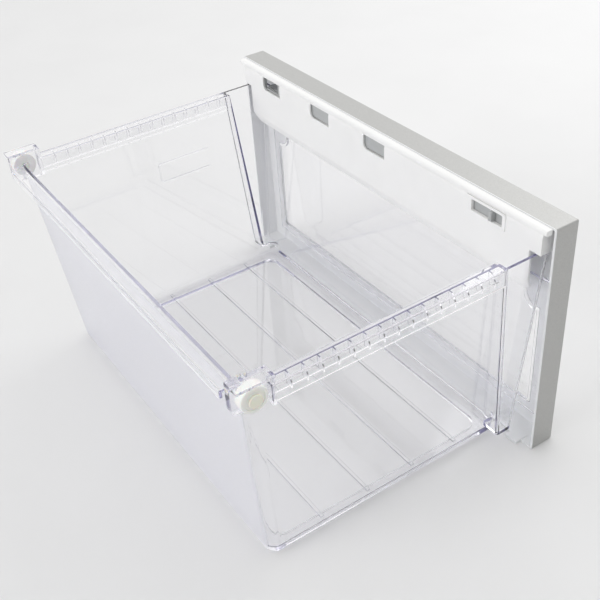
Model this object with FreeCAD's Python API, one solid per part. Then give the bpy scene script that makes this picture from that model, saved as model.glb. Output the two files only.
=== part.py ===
"""A clear refrigerator crisper drawer with a silver-framed front panel.

The drawer stands on its flat base.  X runs to the right for somebody who
faces the panel, Y runs from the panel to the rear of the drawer and Z is up.
The origin lies on the ground under the middle of the whole drawer.
The pieces are drawn with Y = 0 at the back rim of the panel.
All sizes are millimetres.
"""
import FreeCAD
import Part
import os

V = FreeCAD.Vector

# Front panel, a painted shell that is open towards the drawer
PANEL_W = 450.0
PANEL_H = 230.0
PANEL_D = 24.5
SHELL_T = 2.2
SHELL_ROUND = 1.6
PANEL_HALF = PANEL_W / 2.0

# Opening for the window, with an ear in each upper corner
STILE_W = 26.0
SILL_H = 24.7
WINDOW_H = 130.0
WINDOW_ROUND = 3.0
EAR_W = 17.0
EAR_H = 23.0
EAR_ROUND = 14.0
WINDOW_HALF = PANEL_HALF - STILE_W
WINDOW_HEAD = SILL_H + WINDOW_H

# Clear window, a stepped pane that lies behind the opening
WINDOW_FIT = 0.3
WINDOW_T = 2.4
WINDOW_STEP = 2.7
WINDOW_REBATE = 7.5
WINDOW_SET_BACK = 0.25

# Clear tub with drafted walls, measured inside at its rim
TUB_T = 2.5
TUB_D = 274.08
DRAFT = 0.086
RIM_DOWN = 26.5
RIM_SET_BACK = 14.76
FLOOR_Z = 6.5
FLOOR_T = 2.5
BASIN_ROUND = 6.5
BASIN_CORNER = 11.0
FOOT_W = 13.0

# Wide bay that carries the panel in front of the basin
BAY_SIDE_IN = 12.0
BAY_REAR = 37.5
BAY_Z = 15.0
BAY_LEAN = 0.045
POST_LEAN = 0.075
BAY_ROUND = 7.0
BAY_POST_ROUND = 3.2
BAY_HALF = PANEL_HALF - BAY_SIDE_IN

# Side rails, each a flange with a lip and a row of ribs underneath
RAIL_W = 11.86
RAIL_T = 2.2
RAIL_DROP = 15.5
RAIL_ROOT = 0.96
RIB_START = 9.3
RIB_END = 0.75
RIB_COUNT = 15
RIB_T = 1.1
RIB_DROP = 12.0
RIB_EASE_OUT = 3.0
RIB_EASE_DOWN = 5.4

# Rim and floor of the basin, which follow from the panel, the rails and the draft
RIM_Z = PANEL_H - RIM_DOWN
RIM_HALF = BAY_HALF - RAIL_W
RIM_FRONT = RIM_SET_BACK - PANEL_D
RIM_REAR = RIM_FRONT + TUB_D
LEAN_IN = DRAFT * (RIM_Z - FLOOR_Z)
FLOOR_HALF = RIM_HALF - LEAN_IN
FLOOR_FRONT = RIM_FRONT + LEAN_IN
FLOOR_REAR = RIM_REAR - LEAN_IN

# Raised bars across the floor
BAR_START = 44.2
BAR_PITCH = 48.0
BAR_COUNT = 4
BAR_SHORT = 5.2
BAR_W = 3.0
BAR_H = 1.2

# Lip along the top of the rear wall
LIP_SHORT = 5.14
LIP_OUT = 14.16
LIP_T = 2.2
LIP_DROP = 7.0
LIP_REACH = RIM_REAR + LIP_OUT

# Outline moulded on the right side wall
MARK_START = 70.0
MARK_L = 59.0
MARK_DOWN = 48.0
MARK_TALL = 21.5
MARK_W = 1.3
MARK_H = 0.7
MARK_ROUND = 3.0

# Housings of the rollers at the rear corners
HOUSING_D = 30.6
HOUSING_IN = 2.5
HOUSING_RISE = 9.7
HOUSING_FALL = 17.5
HOUSING_OUT = 2.8
HOUSING_ROUND = 5.0
CHEEK_SHORT = 2.0
SEAT_IN = 7.0
HOUSING_REAR = LIP_REACH - HOUSING_IN
HOUSING_FRONT = HOUSING_REAR - HOUSING_D
HOUSING_TOP = RIM_Z + HOUSING_RISE
HOUSING_Z = RIM_Z - HOUSING_FALL
HOUSING_X = BAY_HALF + HOUSING_OUT
SEAT_X = BAY_HALF - SEAT_IN

# Rollers and their pins
WHEEL_IN = 14.0
WHEEL_DOWN = 4.0
WHEEL_R = 11.0
WHEEL_W = 8.0
WHEEL_EDGE = 0.8
WHEEL_DISH_R = 8.4
WHEEL_DISH = 1.2
SEAT_GAP = 0.6
PIN_R = 3.0
PIN_RUN = 0.05
PIN_SKIN = 0.9
PIN_HEAD_R = 5.4
PIN_HEAD_T = 1.6
HEAD_GAP = 0.4
WHEEL_Y = HOUSING_REAR - WHEEL_IN
WHEEL_Z = RIM_Z - WHEEL_DOWN

# White cover over the upper part of the panel
COVER_IN = 8.0
COVER_DOWN = 5.8
COVER_T = 2.2
COVER_BACK = 5.8
COVER_BEND_DOWN = 54.5
COVER_FOOT_DOWN = 67.0
COVER_FOOT_Y = 0.2
COVER_CORNER = 6.0
COVER_SIDE_GAP = 5.5
COVER_RIM_GAP = 1.0
COVER_LIP_OUT = 4.6
COVER_LIP_DOWN = 0.8
COVER_LIP_BACK = 7.0
COVER_LIP_ROUND = 2.0
COVER_GROOVE = 1.1
COVER_GROOVE_H = 4.2
COVER_TONGUE = 9.0
COVER_HALF = PANEL_HALF - COVER_IN
COVER_SKIRT_HALF = BAY_HALF - TUB_T - COVER_SIDE_GAP
COVER_TOP = PANEL_H - COVER_DOWN
COVER_LIP_TOP = PANEL_H - COVER_LIP_DOWN
COVER_BEND_Z = PANEL_H - COVER_BEND_DOWN
COVER_FOOT_Z = PANEL_H - COVER_FOOT_DOWN
COVER_NOTCH_Z = RIM_Z + COVER_RIM_GAP

# Vents in the cover
VENT_IN = 53.2
VENT_PITCH = 86.2
VENT_COUNT = 3
VENT_W = 31.0
VENT_H = 13.8
VENT_DOWN = 7.6
VENT_ROUND = 5.0
VENT_TOP = PANEL_H - VENT_DOWN
VENT_MID = [COVER_HALF - VENT_IN - i * VENT_PITCH for i in range(VENT_COUNT)]

# Slot for the slider, with a raised surround
SLOT_IN = 42.0
SLOT_L = 35.2
SLOT_H = 10.4
SLOT_DOWN = 9.0
SLOT_ROUND = 1.0
SURROUND_LEFT = 3.4
SURROUND_RIGHT = 8.4
SURROUND_LOW = 3.2
SURROUND_HIGH = 2.4
SURROUND_H = 1.0
SURROUND_ROUND = 2.4
SLOT_LEFT = SLOT_IN - COVER_HALF
SLOT_TOP = PANEL_H - SLOT_DOWN
SLOT_LOW = SLOT_TOP - SLOT_H

# Humidity slider, a shutter behind the vents with a knob in the slot
KNOB_START = 10.3
KNOB_W = 3.2
KNOB_RUN = 0.9
KNOB_REACH = 8.6
KNOB_ROUND = 0.8
PEG_R = 1.4
SHUTTER_PAST_SLOT = 8.0
SHUTTER_PAST_VENT = 8.0
SHUTTER_T = 2.4
SHUTTER_RUN = 0.4
SHUTTER_SAG = 1.2
SHUTTER_EDGE = 1.4
SHUTTER_HEAD = 2.6
SHUTTER_GAP = 24.0
SHUTTER_SHIFT = [3.4, -28.3, -28.3]
GUIDE_DOWN = 4.8
GUIDE_APART = 19.0
GUIDE_T = 1.6
GUIDE_HOLD = 1.3
GUIDE_IN_LEFT = 29.0
GUIDE_IN_RIGHT = 12.0
KNOB_X = SLOT_LEFT + KNOB_START + KNOB_W / 2.0
SHUTTER_BACK = COVER_BACK - COVER_T - SHUTTER_RUN
GUIDE_TOP = PANEL_H - GUIDE_DOWN
GUIDE_LOW = GUIDE_TOP - GUIDE_APART

# Hook on the panel that hangs over the front wall of the tub, and its lower tabs
HOOK_SHORT = 15.0
HOOK_T = 2.2
HOOK_DROP = 6.0
HOOK_GAP = 0.5
TAB_IN = 13.0
TAB_W = 14.0
TAB_FRONT = -8.2
TAB_REACH = 6.5
TAB_T = 2.8

# Shift that brings the middle of the whole drawer over the origin
MID_Y = (LIP_REACH - PANEL_D) / 2.0

# How far a cut or a joined block runs past a face, and how near counts as on a face
BITE = 0.5
NEAR = 0.01


def block(x0, x1, y0, y1, z0, z1):
    return Part.makeBox(x1 - x0, y1 - y0, z1 - z0, V(x0, y0, z0))


def taper(low, high, z0, z1):
    """A block whose four sides lean; low and high are (x0, x1, y0, y1)."""
    wedge = Part.makeWedge(
        low[0], z0, -low[3], -high[3], high[0],
        low[1], z1, -low[2], -high[2], high[1])
    wedge.rotate(V(0, 0, 0), V(1, 0, 0), 90)
    return wedge


def upright(edge, lean=0.25):
    """True for an edge that runs from one height to another."""
    d = edge.Vertexes[-1].Point - edge.Vertexes[0].Point
    return abs(d.z) > NEAR and abs(d.x) + abs(d.y) < lean * abs(d.z)


def along(edge, axis):
    """True for a straight edge that runs along an axis."""
    d = edge.Vertexes[-1].Point - edge.Vertexes[0].Point
    return d.Length > NEAR and abs(abs(d.dot(axis)) - d.Length) < NEAR


def rounded(shape, radius, pick):
    return shape.makeFillet(radius, [e for e in shape.Edges if pick(e)])


def both_sides(shape):
    """A shape together with its mirror image across the middle."""
    return shape.fuse(left_of(shape))


def left_of(shape):
    return shape.mirror(V(0, 0, 0), V(1, 0, 0))


def prism_x(points, x0, x1):
    """A solid with a (y, z) outline, drawn along X."""
    wire = Part.makePolygon([V(x0, y, z) for y, z in points + points[:1]])
    return Part.Face(wire).extrude(V(x1 - x0, 0, 0))


def prism_y(points, y, thick):
    """A solid with an (x, z) outline, drawn along Y."""
    wire = Part.makePolygon([V(x, y, z) for x, z in points + points[:1]])
    return Part.Face(wire).extrude(V(0, thick, 0))


def save(shape, name):
    whole = shape.removeSplitter()
    whole.translate(V(0, -MID_Y, 0))
    whole.exportStep("parts/" + name + ".step")
    print(name, round(whole.Volume / 1000.0, 1), "cm3", len(whole.Solids), "solid")


# The clear tub

def wall_x(z):
    """Where the inside of the right wall lies at a height."""
    return FLOOR_HALF + DRAFT * (z - FLOOR_Z)


def wall_front(z):
    return FLOOR_FRONT - DRAFT * (z - FLOOR_Z)


def wall_rear(z):
    return FLOOR_REAR + DRAFT * (z - FLOOR_Z)


def basin(grow, z0, z1):
    """The drafted basin, grown sideways, with rounded corners and base."""
    low, high = [(-wall_x(z) - grow, wall_x(z) + grow, wall_front(z) - grow, wall_rear(z) + grow)
                 for z in (z0, z1)]
    body = taper(low, high, z0, z1)
    body = rounded(body, BASIN_CORNER - TUB_T + grow, upright)
    return rounded(body, BASIN_ROUND - TUB_T + grow,
                   lambda e: max(v.Z for v in e.Vertexes) < z0 + NEAR)


def bay_half(z):
    return BAY_HALF - BAY_LEAN * (RIM_Z - z)


def bay_rear(z):
    return BAY_REAR - POST_LEAN * (RIM_Z - z)


def bay(inset, z0, z1, radius, post_radius):
    """The wide bay behind the panel, closed in front by the leaning wall."""
    grow = TUB_T - inset
    low, high = [(-bay_half(z) + inset, bay_half(z) - inset, wall_front(z) - grow, bay_rear(z) - inset)
                 for z in (z0, z1)]
    body = taper(low, high, z0, z1)
    middle = (low[2] + low[3]) / 2.0
    body = rounded(body, radius, lambda e: upright(e) and e.CenterOfMass.y < middle)
    return rounded(body, post_radius, lambda e: upright(e) and e.CenterOfMass.y > middle)


def foot_recess():
    """The shallow hollow under the floor that leaves a foot ring."""
    half = wall_x(0.0) + TUB_T - FOOT_W
    front = wall_front(0.0) - TUB_T + FOOT_W
    rear = wall_rear(0.0) + TUB_T - FOOT_W
    return rounded(block(-half, half, front, rear, -BITE, FLOOR_Z - FLOOR_T), BASIN_CORNER, upright)


def floor_bars():
    half = FLOOR_HALF - BAR_SHORT
    middles = [FLOOR_FRONT + BAR_START + i * BAR_PITCH for i in range(BAR_COUNT)]
    return [block(-half, half, y - BAR_W / 2.0, y + BAR_W / 2.0, FLOOR_Z - BITE, FLOOR_Z + BAR_H)
            for y in middles]


def rail():
    """The right-hand rail; the ribs stay clear of the corner of flange and lip."""
    low = RIM_Z - RAIL_DROP
    roof = RIM_Z - RAIL_T
    foot = RIM_Z - RIB_DROP
    lip = BAY_HALF - RAIL_T
    seat = RIM_HALF + TUB_T + RAIL_ROOT
    start = BAY_REAR - TUB_T + BITE
    body = block(wall_x(low), BAY_HALF, start, HOUSING_FRONT + RAIL_T / 2.0, low, RIM_Z)
    body = body.cut(block(seat, lip, start - BITE, HOUSING_FRONT, low - BITE, roof))
    first = BAY_REAR + RIB_START
    pitch = (HOUSING_FRONT - RIB_END - first) / RIB_COUNT
    outline = [(seat - BITE, foot), (lip + BITE, foot), (lip + BITE, roof - RIB_EASE_DOWN),
               (lip, roof - RIB_EASE_DOWN), (lip - RIB_EASE_OUT, roof), (lip - RIB_EASE_OUT, roof + BITE),
               (seat - BITE, roof + BITE)]
    return body.fuse([prism_y(outline, first + i * pitch - RIB_T / 2.0, RIB_T) for i in range(RIB_COUNT)])


def rear_lip():
    half = RIM_HALF - LIP_SHORT
    shelf = block(-half, half, RIM_REAR, LIP_REACH, RIM_Z - LIP_T, RIM_Z)
    return shelf.fuse(block(-half, half, LIP_REACH - LIP_T, LIP_REACH, RIM_Z - LIP_DROP, RIM_Z))


def roller_housing():
    """The seat and hood of the right-hand roller."""
    root = wall_x(HOUSING_Z)
    seat = block(root, SEAT_X, HOUSING_FRONT, HOUSING_REAR, HOUSING_Z, HOUSING_TOP)
    hood = block(root, HOUSING_X, HOUSING_FRONT, HOUSING_REAR, HOUSING_TOP - RAIL_T, HOUSING_TOP)
    cheek = block(root, HOUSING_X - CHEEK_SHORT, HOUSING_FRONT, HOUSING_FRONT + RAIL_T,
                  HOUSING_Z, HOUSING_TOP)
    seat = rounded(seat, HOUSING_ROUND,
                   lambda e: along(e, V(1, 0, 0)) and e.CenterOfMass.y > HOUSING_REAR - NEAR
                   and e.CenterOfMass.z < HOUSING_Z + NEAR)
    return seat.fuse([hood, cheek])


def mark():
    """The raised outline on the right wall, open towards the panel."""
    z1 = RIM_Z - MARK_DOWN
    z0 = z1 - MARK_TALL
    near = wall_x(z0)
    far = wall_x(z1) + TUB_T + MARK_H + BITE
    y0 = MARK_START - 2.0 * MARK_ROUND
    y1 = MARK_START + MARK_L
    plate = rounded(block(near, far, y0, y1, z0, z1), MARK_ROUND, lambda e: along(e, V(1, 0, 0)))
    hole = block(near - BITE, far + BITE, y0 - BITE, y1 - MARK_W, z0 + MARK_W, z1 - MARK_W)
    ring = plate.cut(rounded(hole, MARK_ROUND - MARK_W, lambda e: along(e, V(1, 0, 0))))
    ring = ring.cut(block(near - BITE, far + BITE, y0 - BITE, MARK_START, z0 - BITE, z1 + BITE))
    return ring.common(basin(TUB_T + MARK_H, 0.0, RIM_Z))


def drawer_tub():
    above = HOUSING_TOP + BITE
    body = basin(TUB_T, 0.0, RIM_Z)
    body = body.fuse(bay(0.0, BAY_Z, RIM_Z, BAY_ROUND, BAY_POST_ROUND))
    side = rail().fuse(roller_housing())
    body = body.fuse([both_sides(side), rear_lip()])
    body = body.fuse(mark())
    body = body.cut(basin(0.0, FLOOR_Z, above))
    body = body.cut(bay(TUB_T, BAY_Z + TUB_T, above, BAY_ROUND - TUB_T, BAY_POST_ROUND - TUB_T))
    body = body.cut(foot_recess())
    body = body.fuse(floor_bars())
    return body.cut(both_sides(axle(PIN_R, pin_root(), SEAT_X + BITE)))


# The front panel

def window_outline(shrink, y0, y1):
    """The window opening with an ear cut from each upper corner."""
    half = WINDOW_HALF - shrink
    top = WINDOW_HEAD - shrink
    body = block(-half, half, y0, y1, SILL_H + shrink, top)
    body = rounded(body, WINDOW_ROUND, lambda e: along(e, V(0, 1, 0)))
    ear = block(half - EAR_W, half + EAR_W, y0 - BITE, y1 + BITE, top - EAR_H, top + EAR_H)
    ear = rounded(ear, EAR_ROUND, lambda e: along(e, V(0, 1, 0))
                  and e.CenterOfMass.x < half - EAR_W + NEAR
                  and e.CenterOfMass.z < top - EAR_H + NEAR)
    return body.cut(both_sides(ear))


def front_frame():
    body = block(-PANEL_HALF, PANEL_HALF, -PANEL_D, 0.0, 0.0, PANEL_H)
    body = rounded(body, SHELL_ROUND, lambda e: along(e, V(0, 1, 0))
                   or e.CenterOfMass.y < -PANEL_D + NEAR)
    inner = SHELL_T - PANEL_D
    half = PANEL_HALF - SHELL_T
    body = body.cut(block(-half, half, inner, BITE, SHELL_T, PANEL_H - SHELL_T))
    body = body.cut(window_outline(0.0, -PANEL_D - BITE, inner + BITE))
    hook_half = COVER_SKIRT_HALF - HOOK_SHORT
    hook_front = wall_front(RIM_Z - HOOK_DROP) + HOOK_GAP
    hook_rear = hook_front + HOOK_T
    shelf = block(-hook_half, hook_half, inner - BITE, hook_rear, RIM_Z, RIM_Z + HOOK_T)
    hook = block(-hook_half, hook_half, hook_front, hook_rear, RIM_Z - HOOK_DROP, RIM_Z + HOOK_T)
    right = PANEL_HALF - TAB_IN
    tab = block(right - TAB_W, right, -BITE, TAB_REACH, 0.0, TAB_T)
    tab = tab.fuse(block(right - TAB_W, right, TAB_FRONT, TAB_REACH, SHELL_T - BITE, TAB_T))
    return body.fuse([shelf, hook, both_sides(tab)])


def front_window():
    inner = SHELL_T - PANEL_D
    face = WINDOW_SET_BACK - PANEL_D
    half = WINDOW_HALF + WINDOW_REBATE
    pane = window_outline(WINDOW_FIT, face, inner + BITE)
    back = block(-half, half, inner, inner + WINDOW_T, SILL_H - WINDOW_REBATE, WINDOW_HEAD + WINDOW_REBATE)
    hollow = window_outline(WINDOW_STEP, face + WINDOW_T, inner + WINDOW_T + BITE)
    return pane.fuse(back).cut(hollow)


def cover_skin():
    """The bent sheet of the cover, narrowed where it hangs inside the tub."""
    front = COVER_BACK - COVER_T
    step = COVER_T / 3.0
    outline = [(COVER_BACK - COVER_GROOVE, COVER_TOP), (COVER_BACK, COVER_TOP - COVER_GROOVE_H),
               (COVER_BACK, COVER_BEND_Z), (COVER_FOOT_Y, COVER_FOOT_Z),
               (COVER_FOOT_Y - COVER_T, COVER_FOOT_Z + step), (front, COVER_BEND_Z + step),
               (front, COVER_TOP)]
    body = prism_x(outline, -COVER_HALF, COVER_HALF)
    y0 = COVER_FOOT_Y - COVER_T - BITE
    y1 = COVER_BACK + BITE
    notch = block(COVER_SKIRT_HALF, COVER_HALF + BITE, y0, y1, COVER_FOOT_Z - BITE, COVER_NOTCH_Z)
    inside = V(COVER_SKIRT_HALF - COVER_CORNER, y0, COVER_FOOT_Z)
    outside = V(COVER_SKIRT_HALF + BITE, y0, COVER_FOOT_Z + COVER_CORNER + BITE)
    below = V(COVER_SKIRT_HALF + BITE, y0, COVER_FOOT_Z - BITE)
    start = V(COVER_SKIRT_HALF - COVER_CORNER - BITE, y0, COVER_FOOT_Z - BITE)
    corner = Part.Face(Part.makePolygon([inside, outside, below, start, inside]))
    return body.cut(both_sides(notch)).cut(both_sides(corner.extrude(V(0, y1 - y0, 0))))


def shutter_guides():
    """Two channels behind the cover in which the shutter runs."""
    front = COVER_BACK - COVER_T
    hold_back = SHUTTER_BACK - SHUTTER_T - SHUTTER_RUN
    hold_front = hold_back - GUIDE_T
    left = GUIDE_IN_LEFT - COVER_HALF
    right = COVER_HALF - GUIDE_IN_RIGHT
    low = block(left, right, hold_front, front + BITE, GUIDE_LOW, GUIDE_LOW + GUIDE_T)
    low_hold = block(left, right, hold_front, hold_back, GUIDE_LOW, GUIDE_LOW + GUIDE_T + GUIDE_HOLD)
    high = block(left, right, hold_front, front + BITE, GUIDE_TOP - GUIDE_T, GUIDE_TOP)
    high_hold = block(left, right, hold_front, hold_back, GUIDE_TOP - GUIDE_T - GUIDE_HOLD, GUIDE_TOP)
    return [low, low_hold, high, high_hold]


def vent(middle):
    low = VENT_TOP - VENT_H
    body = block(middle - VENT_W / 2.0, middle + VENT_W / 2.0,
                 COVER_BACK - COVER_T - BITE, COVER_BACK + BITE, low, VENT_TOP)
    return rounded(body, VENT_ROUND, lambda e: along(e, V(0, 1, 0)) and e.CenterOfMass.x > middle
                   and e.CenterOfMass.z < low + NEAR)


def back_cover():
    front = COVER_BACK - COVER_T
    lip_half = COVER_HALF + COVER_LIP_OUT
    lip = block(-lip_half, lip_half, COVER_FOOT_Y, COVER_LIP_BACK, COVER_TOP, COVER_LIP_TOP)
    lip = rounded(lip, COVER_LIP_ROUND, lambda e: along(e, V(1, 0, 0))
                  and e.CenterOfMass.y > COVER_LIP_BACK - NEAR)
    roof = PANEL_H - SHELL_T
    tongue = block(-COVER_HALF, COVER_HALF, -COVER_TONGUE, front + BITE, roof - COVER_T, roof)
    neck = block(-COVER_HALF, COVER_HALF, front, COVER_BACK - COVER_GROOVE,
                 COVER_TOP - BITE, COVER_TOP + BITE)
    skirt = block(COVER_HALF - COVER_T, COVER_HALF, -COVER_TONGUE, front + BITE, COVER_NOTCH_Z, roof)
    surround = block(SLOT_LEFT - SURROUND_LEFT, SLOT_LEFT + SLOT_L + SURROUND_RIGHT,
                     COVER_BACK - BITE, COVER_BACK + SURROUND_H,
                     SLOT_LOW - SURROUND_LOW, SLOT_TOP + SURROUND_HIGH)
    surround = rounded(surround, SURROUND_ROUND, lambda e: along(e, V(0, 1, 0)))
    body = cover_skin().fuse([lip, tongue, neck, both_sides(skirt), surround])
    body = body.fuse(shutter_guides())
    for middle in VENT_MID:
        body = body.cut(vent(middle))
    slot = block(SLOT_LEFT, SLOT_LEFT + SLOT_L, front - BITE, COVER_BACK + SURROUND_H + BITE,
                 SLOT_LOW, SLOT_TOP)
    return body.cut(rounded(slot, SLOT_ROUND, lambda e: along(e, V(0, 1, 0))))


# The humidity slider

def peg(y0, y1):
    """The round peg that joins the knob to the shutter."""
    return Part.makeCylinder(PEG_R, y1 - y0, V(KNOB_X, y0, (SLOT_LOW + SLOT_TOP) / 2.0), V(0, 1, 0))


def humidity_shutter():
    """The bar behind the vents; at rest its windows leave only the right-hand vent open."""
    front = SHUTTER_BACK - SHUTTER_T
    low = GUIDE_LOW + GUIDE_T + SHUTTER_SAG
    high = GUIDE_TOP - GUIDE_T - SHUTTER_RUN
    right = max(VENT_MID) + VENT_W / 2.0 + SHUTTER_PAST_VENT
    body = block(SLOT_LEFT - SHUTTER_PAST_SLOT, right, front, SHUTTER_BACK, low, high)
    for middle, shift in zip(VENT_MID, SHUTTER_SHIFT):
        x = middle + shift
        gap = block(x - SHUTTER_GAP / 2.0, x + SHUTTER_GAP / 2.0, front - BITE, SHUTTER_BACK + BITE,
                    low + SHUTTER_EDGE, high - SHUTTER_HEAD)
        body = body.cut(gap)
    return body.cut(peg(front - BITE, SHUTTER_BACK + BITE))


def shutter_knob():
    body = block(KNOB_X - KNOB_W / 2.0, KNOB_X + KNOB_W / 2.0, SHUTTER_BACK, KNOB_REACH,
                 SLOT_LOW + KNOB_RUN, SLOT_TOP - KNOB_RUN)
    body = rounded(body, KNOB_ROUND, lambda e: e.CenterOfMass.y > KNOB_REACH - NEAR)
    return body.fuse(peg(SHUTTER_BACK - SHUTTER_T, SHUTTER_BACK + BITE))


# The rollers

def axle(radius, x0, x1):
    """A cylinder on the right-hand roller's axis."""
    return Part.makeCylinder(radius, x1 - x0, V(x0, WHEEL_Y, WHEEL_Z), V(1, 0, 0))


def pin_root():
    """Where the pin ends inside the side wall."""
    return wall_x(WHEEL_Z) + PIN_SKIN


def roller():
    """The right-hand wheel, dished on its outer face round a plain bore."""
    x0 = SEAT_X + SEAT_GAP
    x1 = x0 + WHEEL_W
    wheel = axle(WHEEL_R, x0, x1)
    rim = [e for e in wheel.Edges if e.Closed and e.CenterOfMass.x > x1 - NEAR]
    wheel = wheel.makeChamfer(WHEEL_EDGE, rim)
    dish = axle(WHEEL_DISH_R, x1 - WHEEL_DISH, x1 + BITE)
    wheel = wheel.cut(dish.cut(axle(PIN_HEAD_R, x1 - WHEEL_DISH, x1 + BITE)))
    return wheel.cut(axle(PIN_R + PIN_RUN, x0 - BITE, x1 + BITE))


def roller_pin():
    """The right-hand axle with its round head."""
    head_x = SEAT_X + SEAT_GAP + WHEEL_W + HEAD_GAP
    head = axle(PIN_HEAD_R, head_x, head_x + PIN_HEAD_T)
    return head.fuse(axle(PIN_R, pin_root(), head_x + BITE))


os.makedirs("parts", exist_ok=True)
save(drawer_tub(), "drawer_tub")
save(front_frame(), "front_frame")
save(front_window(), "front_window")
save(back_cover(), "back_cover")
save(humidity_shutter(), "humidity_shutter")
save(shutter_knob(), "shutter_knob")
save(roller(), "roller_right")
save(left_of(roller()), "roller_left")
save(roller_pin(), "roller_pin_right")
save(left_of(roller_pin()), "roller_pin_left")
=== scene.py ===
# %% [markdown]
# # A clear crisper drawer in soft studio light
# The drawer is a clear moulded tub behind a silver-painted panel with a clear window. Almost all that the
# eye gets from it is light going through plastic: pale walls, violet cut edges and a frosted rear wall. The
# solids come in at their real size and stay where they are. This lesson gives them their finishes, softens
# their edges and sets up the light.

# %% Load the drawer
import math

import bpy
from mathutils import Matrix, Vector

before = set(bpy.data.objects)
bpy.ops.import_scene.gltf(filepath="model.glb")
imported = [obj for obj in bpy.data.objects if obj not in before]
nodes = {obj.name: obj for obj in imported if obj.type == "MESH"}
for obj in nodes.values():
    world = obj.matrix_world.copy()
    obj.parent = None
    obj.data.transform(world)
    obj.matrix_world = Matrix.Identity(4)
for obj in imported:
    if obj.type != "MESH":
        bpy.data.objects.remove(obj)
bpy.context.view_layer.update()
scene = bpy.context.scene
MM = 0.001
print("pieces:", sorted(nodes))

# %% [markdown]
# ## The camera
# The drawer was photographed from behind its left rear corner, looking down at about 36 degrees with the
# camera tipped a little. A camera can be aimed with a constraint, but a matrix built from three angles is
# exact and shows what each angle does, so that is used here.

# %% Aim the camera
CAMERA_PLACE = Vector((-0.6273, 0.3466, 0.6190))
CAMERA_HEADING = math.radians(121.40)
CAMERA_DOWN = math.radians(36.39)
CAMERA_ROLL = math.radians(-4.43)
LENS_MM = 56.92


def camera_matrix(place, heading, down, roll):
    """Turn a heading from +Y, an angle below the horizon and a roll into a camera's matrix."""
    flat = Vector((math.sin(heading), math.cos(heading), 0))
    ahead = flat * math.cos(down) - Vector((0, 0, math.sin(down)))
    right = Vector((flat.y, -flat.x, 0))
    up = right.cross(ahead)
    tilted_right = right * math.cos(roll) + up * math.sin(roll)
    tilted_up = up * math.cos(roll) - right * math.sin(roll)
    turn = Matrix((tilted_right, tilted_up, -ahead)).transposed()
    return Matrix.Translation(place) @ turn.to_4x4()


camera_data = bpy.data.cameras.new("camera")
camera_data.lens = LENS_MM
camera = bpy.data.objects.new("camera", camera_data)
camera.matrix_world = camera_matrix(CAMERA_PLACE, CAMERA_HEADING, CAMERA_DOWN, CAMERA_ROLL)
scene.collection.objects.link(camera)
scene.camera = camera
print("camera looks along", [round(v, 4) for v in -camera.matrix_world.to_3x3().col[2]])

# %% [markdown]
# ## Soft edges
# No moulded edge is a knife edge: each has a radius of a few tenths of a millimetre, and that radius is
# what catches the light along a rim. The solids have plain edges there, so modifiers add the radius and
# leave the meshes as they are: merge flat facets, round what is sharp, and weight the shading so that flat
# faces stay flat. The frame's facets stay apart, because its front can't be one polygon round a window and
# would show a seam at a corner. The tub keeps its crisp edges, because the polished mould gives it almost no
# radius and its ribs are too thin to round. Clear pieces are first drawn in by two hundredths of a
# millimetre. Where two solids touch, that is the hair of air which real pieces keep between them, and
# without it a clear face goes black against its neighbour.

# %% Round the edges
JOIN_MM = 0.001
HAIR_MM = 0.02
FLAT_WITHIN = math.radians(0.5)
SHARP_OVER = math.radians(50)
EDGE_SEGMENTS = 2
SHADING_WEIGHT = 60
CLEAR_PIECES = ("drawer_tub", "front_window")
UNMERGED_PIECES = ("front_frame",)
EDGE_MM = {
    "front_window": 0.3, "front_frame": 0.35, "back_cover": 0.35,
    "humidity_shutter": 0.2, "shutter_knob": 0.3,
    "roller_left": 0.2, "roller_right": 0.2, "roller_pin_left": 0.25, "roller_pin_right": 0.25,
}


def join_corners(name):
    """Join the corners of a piece's facets, so that neighbours share them."""
    nodes[name].modifiers.new("join corners", "WELD").merge_threshold = JOIN_MM * MM


def draw_in(name):
    """Draw all faces of a piece in by a hair."""
    hair = nodes[name].modifiers.new("hair of air", "DISPLACE")
    hair.mid_level = 0.0
    hair.strength = -HAIR_MM * MM


def merge_flat(name):
    """Merge the facets of each flat face into one polygon."""
    flat = nodes[name].modifiers.new("merge flat facets", "DECIMATE")
    flat.decimate_type = "DISSOLVE"
    flat.angle_limit = FLAT_WITHIN


def round_edges(name, radius_mm):
    """Round a piece's sharp edges and keep its flat faces flat."""
    stack = nodes[name].modifiers
    edge = stack.new("round edges", "BEVEL")
    edge.limit_method = "ANGLE"
    edge.angle_limit = SHARP_OVER
    edge.width = radius_mm * MM
    edge.segments = EDGE_SEGMENTS
    edge.use_clamp_overlap = False
    stack.new("even shading", "WEIGHTED_NORMAL").weight = SHADING_WEIGHT


for name in nodes:
    join_corners(name)
for name in CLEAR_PIECES:
    draw_in(name)
for name, radius_mm in EDGE_MM.items():
    if name not in UNMERGED_PIECES:
        merge_flat(name)
    round_edges(name, radius_mm)
    print(name, "has edges of", radius_mm, "mm")

# %% [markdown]
# ## Helpers for materials
# Colours are written the way a paint card or a screen gives them, as sRGB hex, and shaders count in linear
# light, so one function converts them. Node trees are long to write out, so a second function adds one node,
# sets it and links it. The short functions after it stand for steps that several recipes share. They stay
# this small on purpose: the recipes below should read like recipes.

# %% Colour and node helpers
NOISE_LOW = 0.3
NOISE_HIGH = 0.7


def linear(hex_colour):
    """An sRGB hex colour as linear red, green, blue and alpha."""
    channels = [int(hex_colour[i:i + 2], 16) / 255 for i in (0, 2, 4)]
    return [c / 12.92 if c <= 0.04045 else ((c + 0.055) / 1.055) ** 2.4 for c in channels] + [1.0]


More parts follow.
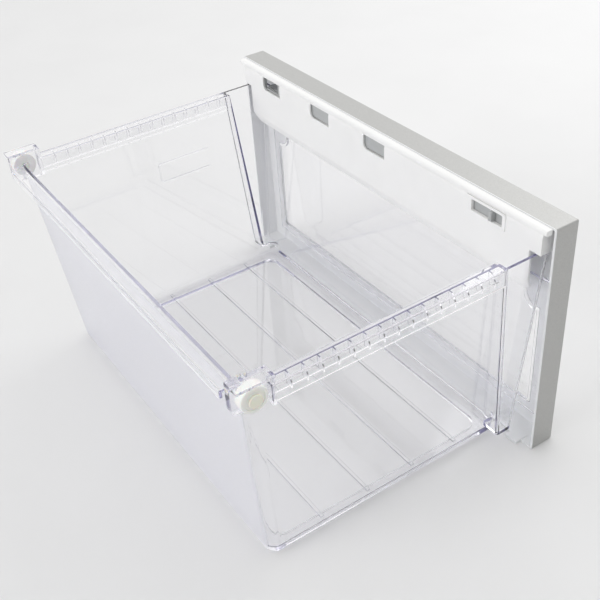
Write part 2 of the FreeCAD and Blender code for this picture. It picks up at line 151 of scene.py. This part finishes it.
def add(tree, kind, inputs=None, **settings):
    """Add a node, set its properties, and fill its inputs with values or with other nodes' outputs."""
    node = tree.nodes.new("ShaderNode" + kind)
    for name, value in settings.items():
        setattr(node, name, value)
    for key, value in (inputs or {}).items():
        if isinstance(value, bpy.types.NodeSocket):
            tree.links.new(value, node.inputs[key])
        else:
            node.inputs[key].default_value = value
    return node


def calc(tree, operation, *values):
    """One step of arithmetic."""
    return add(tree, "Math", dict(enumerate(values)), operation=operation).outputs[0]


def noise(tree, place, size_mm, detail):
    """A cloud pattern of this size, in a frame that counts metres."""
    scale = 1 / (size_mm * MM)
    return add(tree, "TexNoise", {"Vector": place, "Scale": scale, "Detail": detail}).outputs[0]


def spread(tree, pattern, middle, half):
    """Stretch a cloud pattern to a range round a middle value."""
    ends = {1: NOISE_LOW, 2: NOISE_HIGH, 3: middle - half, 4: middle + half}
    return add(tree, "MapRange", {0: pattern, **ends}).outputs[0]


def blend_values(tree, share, first, second):
    """Go from one value to another by a share."""
    return add(tree, "Mix", {0: share, 2: first, 3: second}, data_type="FLOAT").outputs[0]


def blend_colours(tree, share, first, second, how="MIX"):
    """Go from one colour to another by a share, or multiply them."""
    inputs = {0: share, 6: first, 7: second}
    return add(tree, "Mix", inputs, data_type="RGBA", blend_type=how).outputs[2]


def bumped(tree, height, depth_mm, strength):
    """A normal that follows a pattern of heights."""
    inputs = {"Height": height, "Distance": depth_mm * MM, "Strength": strength}
    return add(tree, "Bump", inputs).outputs[0]


def new_material(name):
    """An empty material, its node tree, its output node and the place on the piece."""
    material = bpy.data.materials.new(name)
    material.use_nodes = True
    tree = material.node_tree
    tree.nodes.clear()
    return material, tree, add(tree, "OutputMaterial"), add(tree, "TexCoord").outputs["Object"]


def dress(material, *names):
    """Give the material to every face of these pieces."""
    for name in names:
        nodes[name].data.materials.clear()
        nodes[name].data.materials.append(material)
    print(material.name, "on", ", ".join(names))


# %% [markdown]
# ## Clear polystyrene
# The tub and the window are moulded from clear styrene. Polished mould faces give it a glass-like gloss with
# an index of refraction of 1.59. Its long light paths are faintly violet-blue, so walls look colourless and
# cut edges look violet. The rear wall comes from an etched mould face that frosts it. A plain glass shader
# has no tint and one roughness, so a Principled shader with a thin absorbing volume and a roughness that
# depends on the place is used.

# %% Clear polystyrene recipe
STYRENE_IOR = 1.59
STYRENE_TINT = "FFFFFF"
EDGE_TINT = "6A5FC1"
EDGE_DENSITY = 4.5
POLISHED = 0.03
RIPPLE_MM = 18
RIPPLE_DETAIL = 1.0
RIPPLE_DEPTH_MM = 0.05
RIPPLE_STRENGTH = 0.35
FROSTED = 0.34
FROSTED_SPREAD = 0.06
FROSTED_CLEAR = 0.45
FROSTED_TINT = "EFEFF3"
ETCH_GRAIN_MM = 0.9
ETCH_GRAIN_DETAIL = 2.0
REAR_WALL_DRAFT = 0.086
REAR_FACE_Y = 122.34 * MM
REAR_FACE_BAND = 1.0 * MM
REAR_LIP_Z = 195.5 * MM


def rear_face_mask(tree, place):
    """One on the outer face of the leaning rear wall, below its lip, and zero elsewhere."""
    axis = add(tree, "SeparateXYZ", {0: place}).outputs
    leaned = calc(tree, "MULTIPLY_ADD", axis[2], -REAR_WALL_DRAFT, axis[1])
    on_face = calc(tree, "COMPARE", leaned, REAR_FACE_Y, REAR_FACE_BAND)
    below_lip = calc(tree, "LESS_THAN", axis[2], REAR_LIP_Z)
    return calc(tree, "MULTIPLY", on_face, below_lip)


def clear_polystyrene(name, rear_wall_frosted):
    """Polished clear styrene, with an etched outer face on the rear wall where asked."""
    material, tree, output, place = new_material(name)
    ripple = noise(tree, place, RIPPLE_MM, RIPPLE_DETAIL)
    shader = add(tree, "BsdfPrincipled", {
        "Base Color": linear(STYRENE_TINT),
        "IOR": STYRENE_IOR,
        "Transmission Weight": 1.0,
        "Roughness": POLISHED,
        "Normal": bumped(tree, ripple, RIPPLE_DEPTH_MM, RIPPLE_STRENGTH),
    })
    if rear_wall_frosted:
        etched = rear_face_mask(tree, place)
        grain = noise(tree, place, ETCH_GRAIN_MM, ETCH_GRAIN_DETAIL)
        frost = spread(tree, grain, FROSTED, FROSTED_SPREAD)
        etched_inputs = {
            "Roughness": blend_values(tree, etched, POLISHED, frost),
            "Transmission Weight": blend_values(tree, etched, 1.0, FROSTED_CLEAR),
            "Base Color": blend_colours(tree, etched, linear(STYRENE_TINT), linear(FROSTED_TINT)),
        }
        for key, value in etched_inputs.items():
            tree.links.new(value, shader.inputs[key])
    depth = add(tree, "VolumeAbsorption", {"Color": linear(EDGE_TINT), "Density": EDGE_DENSITY})
    tree.links.new(shader.outputs[0], output.inputs["Surface"])
    tree.links.new(depth.outputs[0], output.inputs["Volume"])
    return material


# %% Dress the tub and the window
dress(clear_polystyrene("clear_polystyrene_etched_rear", rear_wall_frosted=True), "drawer_tub")
dress(clear_polystyrene("clear_polystyrene_polished", rear_wall_frosted=False), "front_window")

# %% [markdown]
# ## Silver metallic paint
# The panel's shell is a white moulding that is sprayed silver on its outside. Such paint is a clear binder
# with aluminium flakes: it is part mirror and part grey, it sparkles a little, and it stops where the spray
# can't reach, so the inside and the rear rim stay white. The flakes are about 0.05 mm, too fine for the
# picture, and are drawn at 0.6 mm. One shader mixed by place keeps the paint's border sharp without cutting
# the mesh.

# %% Silver paint recipe
PAINT_COLOUR = "B8B8B6"
BARE_COLOUR = "E6E7E8"
PAINT_METAL = 0.5
PAINT_ROUGHNESS = 0.42
FLAKE_MM = 0.6
FLAKE_DARKEST = 0.93
FLAKE_BRIGHTEST = 1.05
FLAKE_ROUGHNESS_SPREAD = 0.05
FLAKE_DEPTH_MM = 0.01
FLAKE_STRENGTH = 0.25
PANEL_SIDE_X = 223.9 * MM
PANEL_FOOT_Z = 1.1 * MM
PANEL_HEAD_Z = 228.9 * MM
PANEL_FRONT_Y = -150.4 * MM
PANEL_RIM_Y = -127.6 * MM


def sprayed_mask(tree, place):
    """One on the outer faces of the shell, in front of its rear rim, and zero elsewhere."""
    axis = add(tree, "SeparateXYZ", {0: place}).outputs
    across = calc(tree, "ABSOLUTE", axis[0])
    outside = calc(tree, "GREATER_THAN", across, PANEL_SIDE_X)
    for other in (
        calc(tree, "LESS_THAN", axis[2], PANEL_FOOT_Z),
        calc(tree, "GREATER_THAN", axis[2], PANEL_HEAD_Z),
        calc(tree, "LESS_THAN", axis[1], PANEL_FRONT_Y),
    ):
        outside = calc(tree, "MAXIMUM", outside, other)
    return calc(tree, "MULTIPLY", outside, calc(tree, "LESS_THAN", axis[1], PANEL_RIM_Y))


def silver_paint():
    """Silver flake paint on the outer faces of the shell, bare white plastic inside."""
    material, tree, output, place = new_material("silver_metallic_paint_on_abs")
    painted = sprayed_mask(tree, place)
    flakes = add(tree, "TexVoronoi", {"Vector": place, "Scale": 1 / (FLAKE_MM * MM)})
    glint = add(tree, "SeparateColor", {0: flakes.outputs["Color"]}).outputs
    shade = add(tree, "MapRange", {0: glint[0], 3: FLAKE_DARKEST, 4: FLAKE_BRIGHTEST})
    rough = add(tree, "MapRange", {
        0: glint[1],
        3: PAINT_ROUGHNESS - FLAKE_ROUGHNESS_SPREAD,
        4: PAINT_ROUGHNESS + FLAKE_ROUGHNESS_SPREAD,
    })
    paint = blend_colours(tree, 1.0, linear(PAINT_COLOUR), shade.outputs[0], "MULTIPLY")
    shader = add(tree, "BsdfPrincipled", {
        "Base Color": blend_colours(tree, painted, linear(BARE_COLOUR), paint),
        "Metallic": calc(tree, "MULTIPLY", painted, PAINT_METAL),
        "Roughness": rough.outputs[0],
        "Normal": bumped(tree, glint[2], FLAKE_DEPTH_MM, FLAKE_STRENGTH),
    })
    tree.links.new(shader.outputs[0], output.inputs["Surface"])
    return material


dress(silver_paint(), "front_frame")

# %% [markdown]
# ## Moulded opaque plastics
# The cover, the slider, the rollers and their pins are plain opaque plastics, and what tells them apart is
# colour, gloss and grain: satin white ABS, the same in grey, white acetal that lets a little light in, and
# natural nylon with its yellow cast. One recipe with a few settings serves all four.

# %% Opaque plastic recipe
CLOUD_MM = 35
CLOUD_DETAIL = 2.0
CLOUD_TONE = 0.015
GRAIN_DETAIL = 3.0
GRAIN_SPREAD = 0.06
GRAIN_STRENGTH = 0.5
LIGHT_REACH_MM = 2.0


def opaque_plastic(name, colour, roughness, grain_mm, grain_depth_mm, light_inside=0.0):
    """A moulded plastic: even colour with a faint cloud, fine grain and satin gloss."""
    material, tree, output, place = new_material(name)
    tone = spread(tree, noise(tree, place, CLOUD_MM, CLOUD_DETAIL), 1.0, CLOUD_TONE)
    grain = noise(tree, place, grain_mm, GRAIN_DETAIL)
    shader = add(tree, "BsdfPrincipled", {
        "Base Color": blend_colours(tree, 1.0, linear(colour), tone, "MULTIPLY"),
        "Roughness": spread(tree, grain, roughness, GRAIN_SPREAD),
        "Subsurface Weight": light_inside,
        "Subsurface Scale": LIGHT_REACH_MM * MM,
        "Normal": bumped(tree, grain, grain_depth_mm, GRAIN_STRENGTH),
    })
    tree.links.new(shader.outputs[0], output.inputs["Surface"])
    return material


# %% Dress the cover, the slider and the rollers
white_abs = opaque_plastic("white_abs_satin", "F2F2F1", roughness=0.42, grain_mm=0.8, grain_depth_mm=0.02)
grey_abs = opaque_plastic("grey_abs_satin", "B2B4B4", roughness=0.45, grain_mm=0.8, grain_depth_mm=0.02)
acetal = opaque_plastic("white_acetal_turned", "F6F6F2", roughness=0.32, grain_mm=0.6, grain_depth_mm=0.01,
                        light_inside=0.2)
nylon = opaque_plastic("natural_nylon", "F0EEE0", roughness=0.38, grain_mm=0.7, grain_depth_mm=0.01,
                       light_inside=0.3)
dress(white_abs, "back_cover")
dress(grey_abs, "humidity_shutter", "shutter_knob")
dress(acetal, "roller_left", "roller_right")
dress(nylon, "roller_pin_left", "roller_pin_right")

# %% [markdown]
# ## The studio
# Clear plastic shows only what stands around it, so the room matters more than the lamps. A pale sheet lies
# under the drawer and the sky of the studio is brightest to the far right. One softbox behind the panel
# lights its top. A wide light on the camera's side lights the white cover. It is a distant lamp, so it is
# even all over the sheet, where a softbox would leave a white patch. Small lamps would leave hard sparkles
# and noise in the clear walls.

# %% Floor
FLOOR_COLOUR = "E4E4E4"
FLOOR_HALF = 30.0
FIBRE_MM = 120
FIBRE_DETAIL = 3.0
FIBRE_TONE = 0.01
PAPER_ROUGHNESS = 0.7


def floor_sheet():
    """A large flat sheet under the drawer, matt white paper."""
    mesh = bpy.data.meshes.new("floor")
    corners = [(-FLOOR_HALF, -FLOOR_HALF, 0), (FLOOR_HALF, -FLOOR_HALF, 0),
               (FLOOR_HALF, FLOOR_HALF, 0), (-FLOOR_HALF, FLOOR_HALF, 0)]
    mesh.from_pydata(corners, [], [(0, 1, 2, 3)])
    sheet = bpy.data.objects.new("floor", mesh)
    scene.collection.objects.link(sheet)
    material, tree, output, place = new_material("matt_white_paper")
    tone = spread(tree, noise(tree, place, FIBRE_MM, FIBRE_DETAIL), 1.0, FIBRE_TONE)
    paper = blend_colours(tree, 1.0, linear(FLOOR_COLOUR), tone, "MULTIPLY")
    shader = add(tree, "BsdfPrincipled", {"Base Color": paper, "Roughness": PAPER_ROUGHNESS})
    tree.links.new(shader.outputs[0], output.inputs["Surface"])
    mesh.materials.append(material)
    return sheet


floor_sheet()

# %% Sky
SKY_FROM = Vector((0.75, -0.30, 0.25)).normalized()
SKY_COLOUR = "FFFFFF"
SKY_DIM = 0.42
SKY_BRIGHT = 1.12

world = bpy.data.worlds.new("studio")
world.use_nodes = True
scene.world = world
tree = world.node_tree
tree.nodes.clear()
look = add(tree, "TexCoord").outputs["Generated"]
facing = add(tree, "VectorMath", {0: look, 1: SKY_FROM}, operation="DOT_PRODUCT")
strength = add(tree, "MapRange", {0: facing.outputs["Value"], 1: -1.0, 2: 1.0, 3: SKY_DIM, 4: SKY_BRIGHT})
sky = add(tree, "Background", {"Color": linear(SKY_COLOUR), "Strength": strength.outputs[0]})
add(tree, "OutputWorld", {0: sky.outputs[0]})
print("sky from", SKY_DIM, "to", SKY_BRIGHT)

# %% Lamps
SOFTBOX_PLACE = Vector((0.30, -1.35, 1.20))
SOFTBOX_SIZE = 1.3
SOFTBOX_POWER = 6.5
WIDE_LIGHT_FROM = Vector((0.25, 2.10, 1.05))
WIDE_LIGHT_ANGLE = math.radians(38)
WIDE_LIGHT_POWER = 0.82


def hang_lamp(name, kind, place, power, **shape):
    """Hang a lamp that faces the drawer."""
    lamp_data = bpy.data.lights.new(name, kind)
    lamp_data.energy = power
    for key, value in shape.items():
        setattr(lamp_data, key, value)
    lamp = bpy.data.objects.new(name, lamp_data)
    lamp.matrix_world = Matrix.Translation(place) @ place.to_track_quat("Z", "Y").to_matrix().to_4x4()
    scene.collection.objects.link(lamp)
    print(name, "of power", power, "at", tuple(round(v, 2) for v in place))


hang_lamp("softbox behind the panel", "AREA", SOFTBOX_PLACE, SOFTBOX_POWER, size=SOFTBOX_SIZE)
hang_lamp("wide light on the camera's side", "SUN", WIDE_LIGHT_FROM, WIDE_LIGHT_POWER, angle=WIDE_LIGHT_ANGLE)

# %% [markdown]
# ## Finish
# The view transform is set to Standard so that a colour comes out as it is written. Light that is caught in a
# clear wall bounces many times before it leaves, so the bounces are set high.

# %% Finish
CLEAR_BOUNCES = 64
DIFFUSE_BOUNCES = 6

scene.view_settings.view_transform = "Standard"
scene.cycles.blur_glossy = 0.0
scene.cycles.max_bounces = CLEAR_BOUNCES
scene.cycles.transmission_bounces = CLEAR_BOUNCES
scene.cycles.glossy_bounces = CLEAR_BOUNCES
scene.cycles.diffuse_bounces = DIFFUSE_BOUNCES
